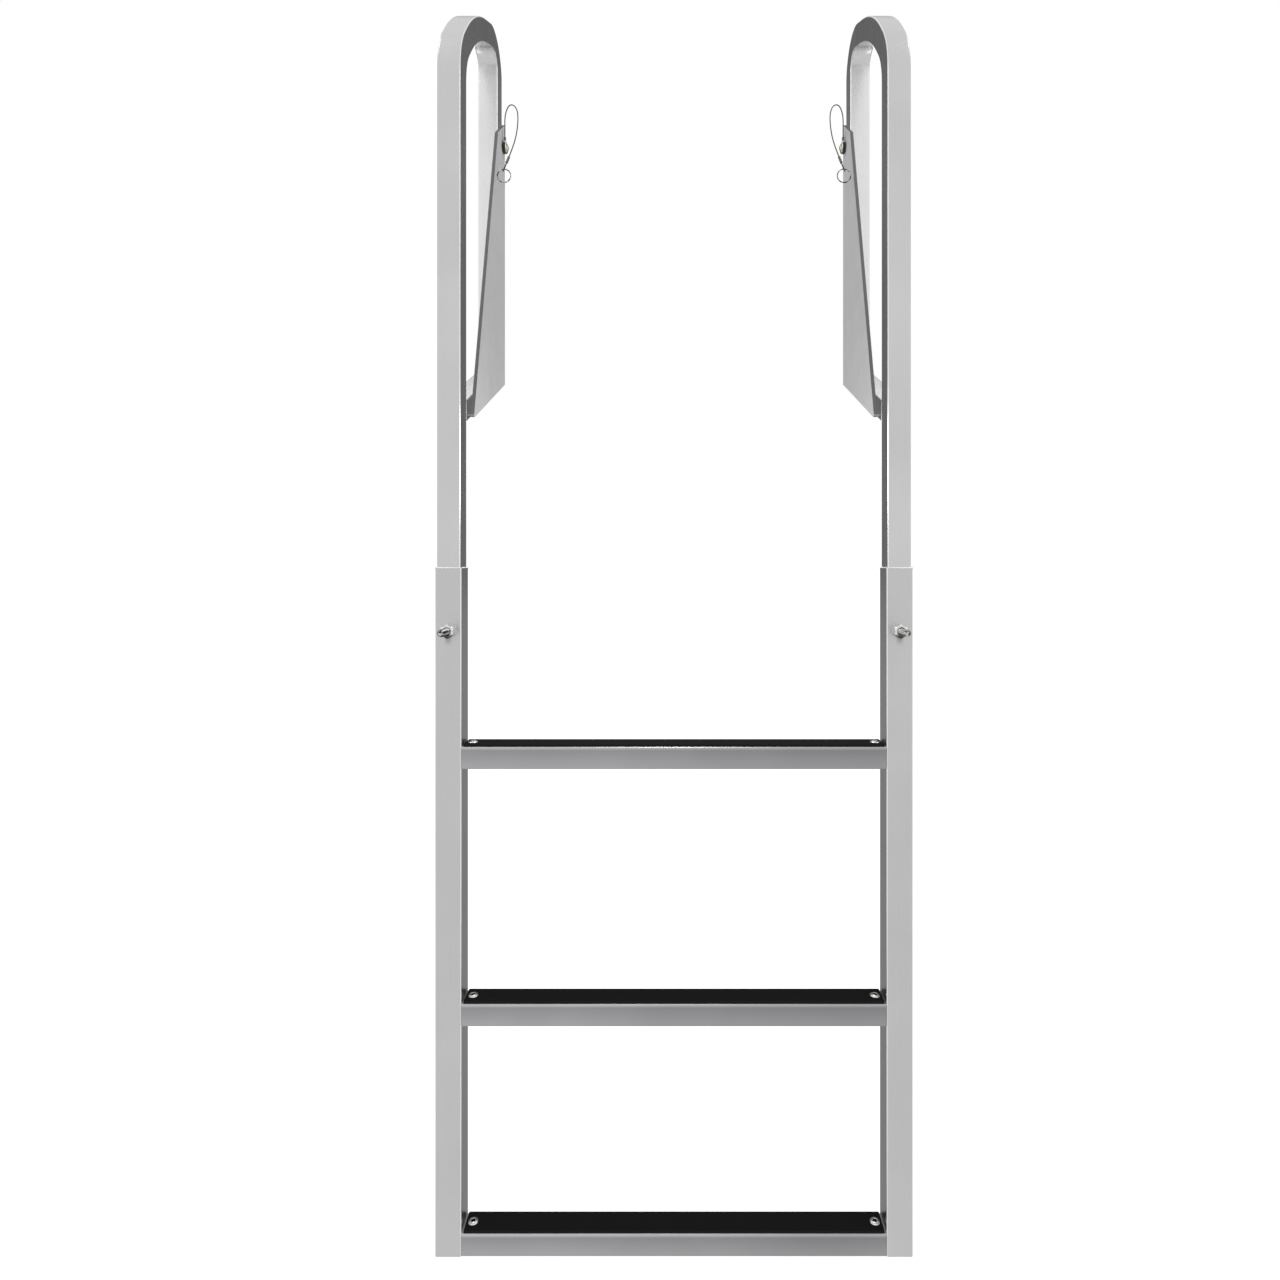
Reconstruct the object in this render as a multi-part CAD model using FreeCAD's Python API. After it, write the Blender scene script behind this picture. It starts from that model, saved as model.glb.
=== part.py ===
import FreeCAD, Part
import math
import os

# Three-step aluminium dock ladder with two looped handrails.
# The bracket faces lie against the side of the dock, and each loop is locked
# to its bracket by a pin that is pulled out towards the middle of the ladder.
# +X runs to the viewer's right, +Y towards the dock, +Z up. The origin is the
# middle of the left bracket's dock face. Lengths are in millimetres.

# Allowances
cut_margin = 1.0              # by which a cutting shape runs past what it cuts
tolerance = 0.01              # within which an edge counts as lying at a place
bend_share = 0.45             # of the shorter run beside a wire's bend, used by its arc

# Driving dimensions: whole ladder
rail_spacing = 487.8          # between the centre lines of the two rails
loop_depth = 204.0            # front of the front leg to the back of the rear leg

# Driving dimensions: handrail tube
handrail_width = 25.4
handrail_depth = 25.4
handrail_wall = 2.0
tube_corner = 1.6             # outside corner radius of every drawn tube
inner_corner = 0.5            # inside corner radius of every drawn tube
handrail_overlap = 130.0      # length hidden inside the lower rail
arch_rear_height = 1442.0     # corner of the bend above the rear leg
arch_crown_fall = 59.6        # crown corner below the rear corner
arch_front_fall = 131.4       # corner above the front leg below the rear corner
arch_crown_back = 59.2        # crown corner behind the front leg's centre line
arch_front_radius = 75.0
arch_crown_radius = 250.0
arch_rear_radius = 30.0

# Driving dimensions: lower rail, in which the handrail slides and is bolted
sleeve_clearance = 0.15
sleeve_wall = 1.4
sleeve_top = 745.0
sleeve_rim_chamfer = 0.9

# Driving dimensions: brace that closes each loop
strut_height = 22.2
strut_wall = 2.0
brace_foot_height = 906.4     # underside of the brace at the front leg
brace_angle = 24.6            # rise of the brace towards the dock, degrees

# Driving dimensions: steps and their mats
step_height = 24.3
step_wall = 2.0
step_tops = {"upper": 550.8, "middle": 272.7, "lower": 24.3}
mat_thickness = 2.4
mat_border = 1.6
mat_corner = 1.5

# Driving dimensions: mat screws
screw_head_radius = 5.6
screw_head_height = 1.8
screw_shank_radius = 2.0
screw_inset = 9.2             # from the step's end
screw_reach = 9.0
screw_shank_overlap = 0.4     # of the shank inside the head
screw_slot_radius = 2.2
screw_slot_depth = 1.0

# Driving dimensions: joint bolt through the lower rail and handrail
bolt_fall = 69.0              # below the top of the lower rail
bolt_radius = 4.0
bolt_clearance = 0.1
bolt_head_flats = 13.0
bolt_head_height = 5.5
nut_flats = 14.0
nut_height = 6.8
nut_face_radius = 6.8
nut_crown_slope = 0.82        # widening of the chamfer behind the face, mm per mm
bolt_protrusion = 22.0        # thread that stands out beyond the nut
bolt_chamfer = 0.8

# Driving dimensions: dock bracket, folded from plate
plate_thickness = 4.0
bracket_tip_back = 42.0       # lower front tip behind the front leg's face
bracket_top_back = 163.0      # upper front corner behind the front leg's face
bracket_top_fall = 105.0      # upper rear corner below the arch's rear corner
bracket_front_fall = 32.0     # upper front corner below the upper rear corner
bracket_tip_radius = 2.0
bracket_bend_radius = 4.0
dock_hole_radius = 4.5
dock_hole_margin = 52.5       # from the web's two ends

# Driving dimensions: lock pin
pin_fall = 37.5               # below the bracket's upper rear corner
pin_radius = 4.0
pin_clearance = 0.05
pin_seat_gap = 0.3
pin_head_radius = 7.5
pin_head_thickness = 5.0
pin_head_edge = 0.8           # rounding of the head's two rims
pin_button_radius = 3.0
pin_button_height = 2.4
pin_button_root = 1.0         # of the button inside the head
pin_tip_setback = 0.5
pin_lug_width = 4.2
pin_lug_height = 1.6

# Driving dimensions: wire lanyard, its ferrules and its split ring
wire_radius = 0.75
ferrule_radius = 1.7
top_ferrule_length = 5.0
end_ferrule_length = 9.5
eye_bend_radius = 2.8         # centre line of the wire eye's round end
eye_length = 8.5              # from the ferrule to the round end's centre
eye_root_depth = 1.0          # of the eye's two wires inside the ferrule
eye_root_offset = 0.8
eye_slack = 0.4
eye_turn = 30.0               # of the eye's plane about the ferrule, degrees
ring_radius = 8.4
ring_wire_radius = 0.8

# Places that follow from the driving dimensions
lower_rail_width = handrail_width + 2 * (sleeve_clearance + sleeve_wall)
lower_rail_depth = handrail_depth + 2 * (sleeve_clearance + sleeve_wall)
rail_x = rail_spacing / 2
handrail_inner_x = rail_x - handrail_width / 2
handrail_outer_x = rail_x + handrail_width / 2
cheek_inner_x = handrail_inner_x - plate_thickness
lower_rail_inner_x = rail_x - lower_rail_width / 2
leg_back_y = -plate_thickness
leg_front_y = leg_back_y - loop_depth
front_leg_y = leg_front_y + handrail_depth / 2
rear_leg_y = leg_back_y - handrail_depth / 2
web_middle_x = (cheek_inner_x + handrail_outer_x) / 2
brace_slope = math.tan(math.radians(brace_angle))
arch_crown_height = arch_rear_height - arch_crown_fall
arch_front_height = arch_rear_height - arch_front_fall
bracket_back = loop_depth + plate_thickness
bracket_top_height = arch_rear_height - bracket_top_fall
bracket_low_height = brace_foot_height + (bracket_back - handrail_depth) * brace_slope
bracket_mid_height = (bracket_low_height + bracket_top_height) / 2
dock_hole_spacing = bracket_top_height - bracket_low_height - 2 * dock_hole_margin
pin_height = bracket_top_height - pin_fall
bolt_height = sleeve_top - bolt_fall

LEFT = -1
RIGHT = 1
SIDES = {"left": LEFT, "right": RIGHT}


def vec(x, y, z):
    return FreeCAD.Vector(x, y, z)


def level(height):
    """Height above the rails' lower ends as a Z coordinate."""
    return height - bracket_mid_height


def save(node, shape):
    """Move a piece from the ladder's centre plane to the origin and write it."""
    moved = shape.copy()
    moved.translate(vec(web_middle_x, 0, 0))
    if not moved.isValid():
        raise ValueError(node + " is not a valid shape")
    moved.exportStep("parts/" + node + ".step")
    print(node, "solids", len(moved.Solids), "volume", round(moved.Volume, 1))


def block(x0, x1, y0, y1, z0, z1):
    """Box between two corners, whichever way round they are given."""
    low = vec(min(x0, x1), min(y0, y1), min(z0, z1))
    return Part.makeBox(abs(x1 - x0), abs(y1 - y0), abs(z1 - z0), low)


def cylinder(radius, start, end):
    along = end - start
    return Part.makeCylinder(radius, along.Length, start, along)


def hexagon_prism(flats, start, along, length):
    """Hexagonal prism with two flats parallel to its first cross axis."""
    corner_radius = flats / math.sqrt(3)
    turned = FreeCAD.Rotation(vec(0, 0, 1), along)
    points = []
    for corner in range(6):
        angle = math.radians(60 * corner)
        flat_point = vec(corner_radius * math.cos(angle), corner_radius * math.sin(angle), 0)
        points.append(start + turned.multVec(flat_point))
    points.append(points[0])
    face = Part.Face(Part.makePolygon(points))
    return face.extrude(along * length)


def rounded_rectangle(width, height, radius):
    """Closed wire centred on the origin of the XY plane."""
    half_w = width / 2
    half_h = height / 2
    centres = [(half_w - radius, half_h - radius), (radius - half_w, half_h - radius),
               (radius - half_w, radius - half_h), (half_w - radius, radius - half_h)]
    edges = []
    for index, (cx, cy) in enumerate(centres):
        circle = Part.Circle(vec(cx, cy, 0), vec(0, 0, 1), radius)
        start_angle = index * math.pi / 2
        edges.append(Part.Arc(circle, start_angle, start_angle + math.pi / 2).toShape())
    joined = []
    for index, edge in enumerate(edges):
        following = edges[(index + 1) % 4]
        joined.append(edge)
        joined.append(Part.makeLine(edge.lastVertex(True).Point, following.firstVertex(True).Point))
    return Part.Wire(joined)


def tube_section(width, height, wall):
    """Face of a drawn tube, with rounded corners outside and inside."""
    outer = Part.Face(rounded_rectangle(width, height, tube_corner))
    inner = Part.Face(rounded_rectangle(width - 2 * wall, height - 2 * wall, inner_corner))
    return outer.cut(inner).Faces[0]


def rounded_path(points, radii):
    """Wire of straight runs joined by tangent arcs at the inner points."""
    edges = []
    previous_end = points[0]
    for index in range(1, len(points) - 1):
        corner = points[index]
        back = (points[index - 1] - corner).normalize()
        ahead = (points[index + 1] - corner).normalize()
        turn = math.pi - back.getAngle(ahead)
        reach = radii[index - 1] * math.tan(turn / 2)
        arc_start = corner + back * reach
        arc_end = corner + ahead * reach
        bisector = (back + ahead).normalize()
        centre_distance = radii[index - 1] / math.cos(turn / 2)
        arc_middle = corner + bisector * (centre_distance - radii[index - 1])
        edges.append(Part.LineSegment(previous_end, arc_start).toShape())
        edges.append(Part.Arc(arc_start, arc_middle, arc_end).toShape())
        previous_end = arc_end
    edges.append(Part.LineSegment(previous_end, points[-1]).toShape())
    return Part.Wire(edges)


def limp_radii(points):
    """Arc radius at each inner point, as large as its two runs allow."""
    radii = []
    for index in range(1, len(points) - 1):
        back = points[index - 1] - points[index]
        ahead = points[index + 1] - points[index]
        turn = math.pi - back.getAngle(ahead)
        shorter = min(back.Length, ahead.Length)
        radii.append(bend_share * shorter / math.tan(turn / 2))
    return radii


def brace_underside(back):
    """Height of the brace's underside at a distance behind the front leg's face."""
    return brace_foot_height + (back - handrail_depth) * brace_slope


def side_profile(points, x_from, x_to):
    """Plate cut from points given as (distance behind the front face, height)."""
    outline = [vec(x_from, leg_front_y + back, level(height)) for back, height in points]
    outline.append(outline[0])
    return Part.Face(Part.makePolygon(outline)).extrude(vec(x_to - x_from, 0, 0))


def joint_bolt_hole(side, radius):
    """Bore along Y through the lower rail and the handrail inside it."""
    start = vec(side * rail_x, leg_front_y - lower_rail_depth, level(bolt_height))
    end = vec(side * rail_x, leg_front_y + 2 * lower_rail_depth, level(bolt_height))
    return cylinder(radius, start, end)


def lock_pin_bore(side, radius):
    """Bore along X through the bracket's cheek and the rear leg."""
    start = vec(side * (cheek_inner_x - cut_margin), rear_leg_y, level(pin_height))
    end = vec(side * (handrail_outer_x + cut_margin), rear_leg_y, level(pin_height))
    return cylinder(radius, start, end)


def handrail(side):
    """One bent tube: front leg, swept arch and rear leg cut to the brace's slope."""
    x = side * rail_x
    foot = sleeve_top - handrail_overlap
    crown_y = front_leg_y + arch_crown_back
    tail = brace_underside(loop_depth - handrail_depth) - handrail_depth
    points = [vec(x, front_leg_y, level(foot)),
              vec(x, front_leg_y, level(arch_front_height)),
              vec(x, crown_y, level(arch_crown_height)),
              vec(x, rear_leg_y, level(arch_rear_height)),
              vec(x, rear_leg_y, level(tail))]
    path = rounded_path(points, [arch_front_radius, arch_crown_radius, arch_rear_radius])
    section = tube_section(handrail_width, handrail_depth, handrail_wall)
    section.translate(points[0])
    tube = path.makePipe(section)
    cut_front = loop_depth - handrail_depth - cut_margin
    cut_back = loop_depth + cut_margin
    outline = [(cut_front, brace_underside(cut_front)), (cut_back, brace_underside(cut_back)),
               (cut_back, tail - cut_margin), (cut_front, tail - cut_margin)]
    below_brace = side_profile(outline, x - handrail_width, x + handrail_width)
    tube = tube.cut(below_brace)
    tube = tube.cut(joint_bolt_hole(side, bolt_radius + bolt_clearance))
    return tube.cut(lock_pin_bore(side, pin_radius + pin_clearance))


def loop_strut(side):
    """Rising brace tube, mitred against the two legs of the loop."""
    x = side * rail_x
    rise = strut_height / math.cos(math.radians(brace_angle))
    run_start = handrail_depth
    run_end = loop_depth - handrail_depth
    over = strut_height
    direction = vec(0, 1, brace_slope).normalize()
    section = tube_section(handrail_width, strut_height, strut_wall)
    section.rotate(vec(0, 0, 0), vec(1, 0, 0), 90 + brace_angle)
    start_back = run_start - over
    start_height = brace_underside(start_back) + rise / 2
    section.translate(vec(x, leg_front_y + start_back, level(start_height)))
    length = (run_end - run_start + 2 * over) / math.cos(math.radians(brace_angle))
    tube = section.extrude(direction * length)
    between_legs = block(x - handrail_width, x + handrail_width,
                         leg_front_y + run_start, leg_front_y + run_end,
                         level(brace_foot_height - loop_depth), level(brace_foot_height + loop_depth))
    return tube.common(between_legs)


def lower_rail(side):
    """Straight tube that sleeves the handrail and carries the steps."""
    section = tube_section(lower_rail_width, lower_rail_depth, sleeve_wall)
    section.translate(vec(side * rail_x, front_leg_y, level(0)))
    tube = section.extrude(vec(0, 0, sleeve_top))
    rim_face = max(tube.Faces, key=lambda face: face.CenterOfMass.z)
    tube = tube.makeChamfer(sleeve_rim_chamfer, rim_face.OuterWire.Edges)
    return tube.cut(joint_bolt_hole(side, bolt_radius + bolt_clearance))


def screw_place(side, top):
    return vec(side * (lower_rail_inner_x - screw_inset), front_leg_y, level(top + mat_thickness))


def step(top):
    """Cross tube welded between the inner faces of the lower rails."""
    section = tube_section(step_height, lower_rail_depth, step_wall)
    section.rotate(vec(0, 0, 0), vec(0, 1, 0), 90)
    section.translate(vec(-lower_rail_inner_x, front_leg_y, level(top - step_height / 2)))
    tube = section.extrude(vec(2 * lower_rail_inner_x, 0, 0))
    for side in SIDES.values():
        place = screw_place(side, top)
        tube = tube.cut(cylinder(screw_shank_radius, place, place - vec(0, 0, mat_thickness + 2 * step_wall)))
    return tube


def step_mat(top):
    """Rubber strip on the step, set in from its edges."""
    half_length = lower_rail_inner_x - mat_border
    half_depth = lower_rail_depth / 2 - mat_border
    mat = block(-half_length, half_length, front_leg_y - half_depth, front_leg_y + half_depth,
                level(top), level(top + mat_thickness))
    corners = [edge for edge in mat.Edges if abs(edge.tangentAt(edge.FirstParameter).z) > 0.9]
    mat = mat.makeFillet(mat_corner, corners)
    for side in SIDES.values():
        place = screw_place(side, top)
        mat = mat.cut(cylinder(screw_shank_radius, place, place - vec(0, 0, mat_thickness)))
    return mat


def mat_screw(side, top):
    """Domed screw with a socket in its head, through the mat into the step."""
    place = screw_place(side, top)
    dome_radius = (screw_head_radius ** 2 + screw_head_height ** 2) / (2 * screw_head_height)
    ball_centre = place + vec(0, 0, screw_head_height - dome_radius)
    head = Part.makeSphere(dome_radius, ball_centre)
    head = head.common(cylinder(screw_head_radius, place, place + vec(0, 0, screw_head_height)))
    shank_end = place - vec(0, 0, screw_reach)
    screw = head.fuse(cylinder(screw_shank_radius, shank_end, place + vec(0, 0, screw_shank_overlap)))
    crown = place + vec(0, 0, screw_head_height)
    socket = cylinder(screw_slot_radius, crown - vec(0, 0, screw_slot_depth), crown + vec(0, 0, cut_margin))
    return screw.cut(socket).removeSplitter()


def joint_bolt(side):
    """Hexagon bolt from the dock side, with its thread standing out in front."""
    y_front = front_leg_y - lower_rail_depth / 2
    y_back = front_leg_y + lower_rail_depth / 2
    head_start = vec(side * rail_x, y_back, level(bolt_height))
    head = hexagon_prism(bolt_head_flats, head_start, vec(0, 1, 0), bolt_head_height)
    tip = vec(side * rail_x, y_front - nut_height - bolt_protrusion, level(bolt_height))
    shank = cylinder(bolt_radius, head_start, tip)
    tip_edges = [edge for edge in shank.Edges
                 if max(abs(edge.BoundBox.YMax - tip.y), abs(edge.BoundBox.YMin - tip.y)) < tolerance]
    shank = shank.makeChamfer(bolt_chamfer, tip_edges)
    return head.fuse(shank)


def joint_nut(side):
    """Hexagon nut seated on the front of the lower rail."""
    y_front = front_leg_y - lower_rail_depth / 2
    seat = vec(side * rail_x, y_front, level(bolt_height))
    nut = hexagon_prism(nut_flats, seat, vec(0, -1, 0), nut_height)
    crown_base = nut_face_radius + nut_height * nut_crown_slope
    crown = Part.makeCone(crown_base, nut_face_radius, nut_height, seat, vec(0, -1, 0))
    nut = nut.common(crown)
    return nut.cut(cylinder(bolt_radius, seat, seat - vec(0, nut_height, 0)))


def bracket_footprint(side):
    """Plan of the folded bracket's envelope, with its outer bend rounded."""
    inner_x = side * cheek_inner_x
    outer_x = side * handrail_outer_x
    bend_x = inner_x + side * bracket_bend_radius
    middle_x = inner_x + side * bracket_bend_radius * (1 - math.cos(math.pi / 4))
    middle_y = bracket_bend_radius * (math.sin(math.pi / 4) - 1)
    bend = Part.Arc(vec(inner_x, -bracket_bend_radius, 0), vec(middle_x, middle_y, 0), vec(bend_x, 0, 0))
    corners = [vec(bend_x, 0, 0), vec(outer_x, 0, 0), vec(outer_x, leg_front_y, 0),
               vec(inner_x, leg_front_y, 0), vec(inner_x, -bracket_bend_radius, 0)]
    edges = [Part.LineSegment(start, end).toShape() for start, end in zip(corners, corners[1:])]
    return Part.Face(Part.Wire(edges + [bend.toShape()]))


def dock_bracket(side):
    """Folded plate: a cheek tapered along the brace and a web against the dock."""
    back = bracket_back
    low = level(brace_foot_height)
    high = level(bracket_top_height)
    footprint = bracket_footprint(side)
    footprint.translate(vec(0, 0, low))
    envelope = footprint.extrude(vec(0, 0, high - low))
    leg_space = block(side * handrail_inner_x, side * (handrail_outer_x + cut_margin),
                      leg_front_y - cut_margin, leg_back_y, low - cut_margin, high + cut_margin)
    angle = envelope.cut(leg_space)
    tip_height = brace_underside(bracket_tip_back)
    tip = vec(0, leg_front_y + bracket_tip_back, level(tip_height))
    outline = [(bracket_tip_back, tip_height),
               (back, brace_underside(back)),
               (back, bracket_top_height),
               (loop_depth, bracket_top_height),
               (bracket_top_back, bracket_top_height - bracket_front_fall)]
    side_view = side_profile(outline, -handrail_outer_x - cut_margin, handrail_outer_x + cut_margin)
    tip_edges = [edge for edge in side_view.Edges
                 if math.hypot(edge.CenterOfMass.y - tip.y, edge.CenterOfMass.z - tip.z) < tolerance]
    side_view = side_view.makeFillet(bracket_tip_radius, tip_edges)
    bracket = angle.common(side_view)
    for end in (-1, 1):
        hole_start = vec(side * web_middle_x, cut_margin, end * dock_hole_spacing / 2)
        hole_end = hole_start - vec(0, plate_thickness + 2 * cut_margin, 0)
        bracket = bracket.cut(cylinder(dock_hole_radius, hole_start, hole_end))
    return bracket.cut(lock_pin_bore(side, pin_radius + pin_clearance))


def pin_head_face_x():
    return cheek_inner_x - pin_seat_gap


def lock_pin(side):
    """Quick-release pin with a round head, a push button and a lug for the lanyard."""
    seat_x = pin_head_face_x()
    centre_z = level(pin_height)
    seat = vec(side * seat_x, rear_leg_y, centre_z)
    outward = vec(-side, 0, 0)
    tip = vec(side * (handrail_outer_x - pin_tip_setback), rear_leg_y, centre_z)
    shank = cylinder(pin_radius, seat, tip)
    head = cylinder(pin_head_radius, seat, seat + outward * pin_head_thickness)
    head = head.makeFillet(pin_head_edge, [edge for edge in head.Edges if len(edge.Vertexes) == 1])
    crown = seat + outward * pin_head_thickness
    button_start = crown - outward * pin_button_root
    button = cylinder(pin_button_radius, button_start, crown + outward * pin_button_height)
    middle_x = side * (seat_x - pin_head_thickness / 2)
    lug = block(middle_x - pin_lug_width / 2, middle_x + pin_lug_width / 2,
                rear_leg_y - pin_lug_width / 2, rear_leg_y + pin_lug_width / 2,
                centre_z, centre_z + pin_head_radius + pin_lug_height)
    return shank.fuse([head, button, lug]).removeSplitter()


def lanyard_points(side):
    """Route from the top ferrule up, over and down to the end ferrule."""
    foot_x = pin_head_face_x() - pin_head_thickness / 2
    foot_z = pin_head_radius + pin_lug_height + top_ferrule_length
    route = [(0.0, 0.0, 0.0), (0.0, 0.0, 10.0), (1.0, -5.6, 26.0), (7.8, -13.0, 36.0),
             (17.6, -21.0, 30.5), (23.8, -30.0, 14.0), (24.2, -38.8, -12.0), (21.4, -46.0, -34.0),
             (16.0, -50.0, -51.5)]
    points = []
    for inwards, back, up in route:
        points.append(vec(side * (foot_x - inwards), rear_leg_y + back, level(pin_height) + foot_z + up))
    return points


def pin_lanyard(side):
    """Wire rope drawn along straight runs joined by tangent arcs."""
    points = lanyard_points(side)
    radii = limp_radii(points)
    path = rounded_path(points, radii)
    circle = Part.Circle(points[0], points[1] - points[0], wire_radius)
    section = Part.Face(Part.Wire(circle.toShape()))
    cord = path.makePipe(section)
    expected = math.pi * wire_radius ** 2 * path.Length
    print("lanyard length", round(path.Length, 1), "radii", [round(r, 1) for r in radii],
          "volume over section times length", round(cord.Volume / expected, 4))
    return cord


def top_ferrule(side):
    """Crimped sleeve that stands on the pin's lug."""
    top = lanyard_points(side)[0]
    return cylinder(ferrule_radius, top - vec(0, 0, top_ferrule_length), top)


def end_direction(side):
    points = lanyard_points(side)
    return (points[-1] - points[-2]).normalize()


def end_ferrule(side):
    """Crimped sleeve whose wire turns back through the split ring as a small eye."""
    end = lanyard_points(side)[-1]
    along = end_direction(side)
    sleeve_end = end + along * end_ferrule_length
    sleeve = cylinder(ferrule_radius, end, sleeve_end)
    front_to_back = along.cross(vec(1, 0, 0)).normalize()
    sideways = along.cross(front_to_back) * side
    turned = math.radians(eye_turn)
    across = front_to_back * math.cos(turned) + sideways * math.sin(turned)
    start = sleeve_end - along * eye_root_depth
    round_centre = sleeve_end + along * eye_length
    spread = across * eye_bend_radius
    root = across * eye_root_offset
    out_run = Part.LineSegment(start + root, round_centre + spread).toShape()
    round_end = round_centre + along * eye_bend_radius
    turn = Part.Arc(round_centre + spread, round_end, round_centre - spread).toShape()
    back_run = Part.LineSegment(round_centre - spread, start - root).toShape()
    circle = Part.Circle(start + root, round_centre + spread - start - root, wire_radius)
    section = Part.Face(Part.Wire(circle.toShape()))
    eye = Part.Wire([out_run, turn, back_run]).makePipeShell([section.OuterWire], True, False)
    return sleeve.fuse(eye).removeSplitter()


def pin_ring(side):
    """Split ring that hangs in the eye of the end ferrule."""
    end = lanyard_points(side)[-1]
    along = end_direction(side)
    inside_eye = eye_bend_radius - wire_radius - ring_wire_radius - eye_slack
    top = end + along * (end_ferrule_length + eye_length + inside_eye)
    centre = top - vec(0, 0, ring_radius)
    return Part.makeTorus(ring_radius, ring_wire_radius, centre, vec(0, 1, 0))


os.makedirs("parts", exist_ok=True)

for side_name, side in SIDES.items():
    save(side_name + "_handrail", handrail(side))
    save(side_name + "_loop_strut", loop_strut(side))
    save(side_name + "_lower_rail", lower_rail(side))
    save(side_name + "_joint_bolt", joint_bolt(side))
    save(side_name + "_joint_nut", joint_nut(side))
    save(side_name + "_dock_bracket", dock_bracket(side))
    save(side_name + "_lock_pin", lock_pin(side))
    save(side_name + "_pin_lanyard", pin_lanyard(side))
    save(side_name + "_top_ferrule", top_ferrule(side))
    save(side_name + "_end_ferrule", end_ferrule(side))
    save(side_name + "_pin_ring", pin_ring(side))

for step_name, step_top in step_tops.items():
    save(step_name + "_step", step(step_top))
    save(step_name + "_step_mat", step_mat(step_top))
    for side_name, side in SIDES.items():
        save(step_name + "_step_" + side_name + "_screw", mat_screw(side, step_top))
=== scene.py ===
import math

import bmesh
import bpy
from mathutils import Matrix, Vector


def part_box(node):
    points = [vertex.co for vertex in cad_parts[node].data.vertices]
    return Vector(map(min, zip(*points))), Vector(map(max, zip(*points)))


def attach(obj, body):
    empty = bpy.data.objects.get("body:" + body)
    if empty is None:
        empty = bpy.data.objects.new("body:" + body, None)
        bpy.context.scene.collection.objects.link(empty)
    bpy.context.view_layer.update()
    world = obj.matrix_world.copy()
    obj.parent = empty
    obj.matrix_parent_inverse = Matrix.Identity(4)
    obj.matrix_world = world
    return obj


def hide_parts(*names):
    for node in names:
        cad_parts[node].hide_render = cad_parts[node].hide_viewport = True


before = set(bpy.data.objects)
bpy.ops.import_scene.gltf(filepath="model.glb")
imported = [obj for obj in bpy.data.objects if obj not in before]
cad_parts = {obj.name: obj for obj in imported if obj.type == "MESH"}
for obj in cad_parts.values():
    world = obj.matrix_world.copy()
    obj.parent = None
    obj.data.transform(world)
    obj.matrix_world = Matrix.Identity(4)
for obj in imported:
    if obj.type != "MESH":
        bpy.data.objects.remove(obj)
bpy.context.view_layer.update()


# Drawn aluminium tubes: two bent handrails, the braces that close their loops
# and the lower rails that sleeve them. They come off a draw bench, so faint
# lines run along them, and the satin skin mirrors the studio softly.

handrail_depth = 0.0254
tube_corner = 0.0016
ladder_centre_x = (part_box("left_handrail")[0].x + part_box("right_handrail")[1].x) / 2
rear_leg_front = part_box("left_handrail")[1].y - handrail_depth
rear_bend_top = 0.26
rear_bend_foot = 0.21

# Real draw lines are a few hundredths of a millimetre wide. They are drawn 1.2 mm wide and about
# 170 mm long, to show, over patches of tone about 110 mm across.
draw_line_width = 0.0012
draw_line_length = 1 / 6
tone_patch = 1 / 9
upright_stretch = (1 / draw_line_width, 1 / draw_line_width, 1 / draw_line_length)


def linear(hex_colour):
    """Linear colour of an sRGB hex value."""
    channels = [int(hex_colour[place:place + 2], 16) / 255 for place in (1, 3, 5)]
    return tuple(c / 12.92 if c <= 0.04045 else ((c + 0.055) / 1.055) ** 2.4 for c in channels) + (1.0,)


def add_node(tree, kind, settings=None, links=None):
    """Add a node with its settings and links.

    A setting whose name starts with a dot is a property, and any other is an input. Inputs go by
    number where several share a name: on a Mix node 0 is the factor, 6 and 7 are the two colours,
    and the mixed colour is output 2.
    """
    made = tree.nodes.new(kind)
    for name, value in (settings or {}).items():
        if isinstance(name, str) and name.startswith("."):
            setattr(made, name[1:], value)
        else:
            made.inputs[name].default_value = value
    for name, source in (links or {}).items():
        tree.links.new(source, made.inputs[name])
    return made


def new_material(name):
    """New material, its node tree and its shader."""
    material = bpy.data.materials.new(name)
    material.use_nodes = True
    return material, material.node_tree, material.node_tree.nodes["Principled BSDF"]


def dress(node_names, material):
    """Give CAD nodes a finish in place of the plain one."""
    for node_name in node_names:
        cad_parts[node_name].data.materials.clear()
        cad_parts[node_name].data.materials.append(material)


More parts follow.
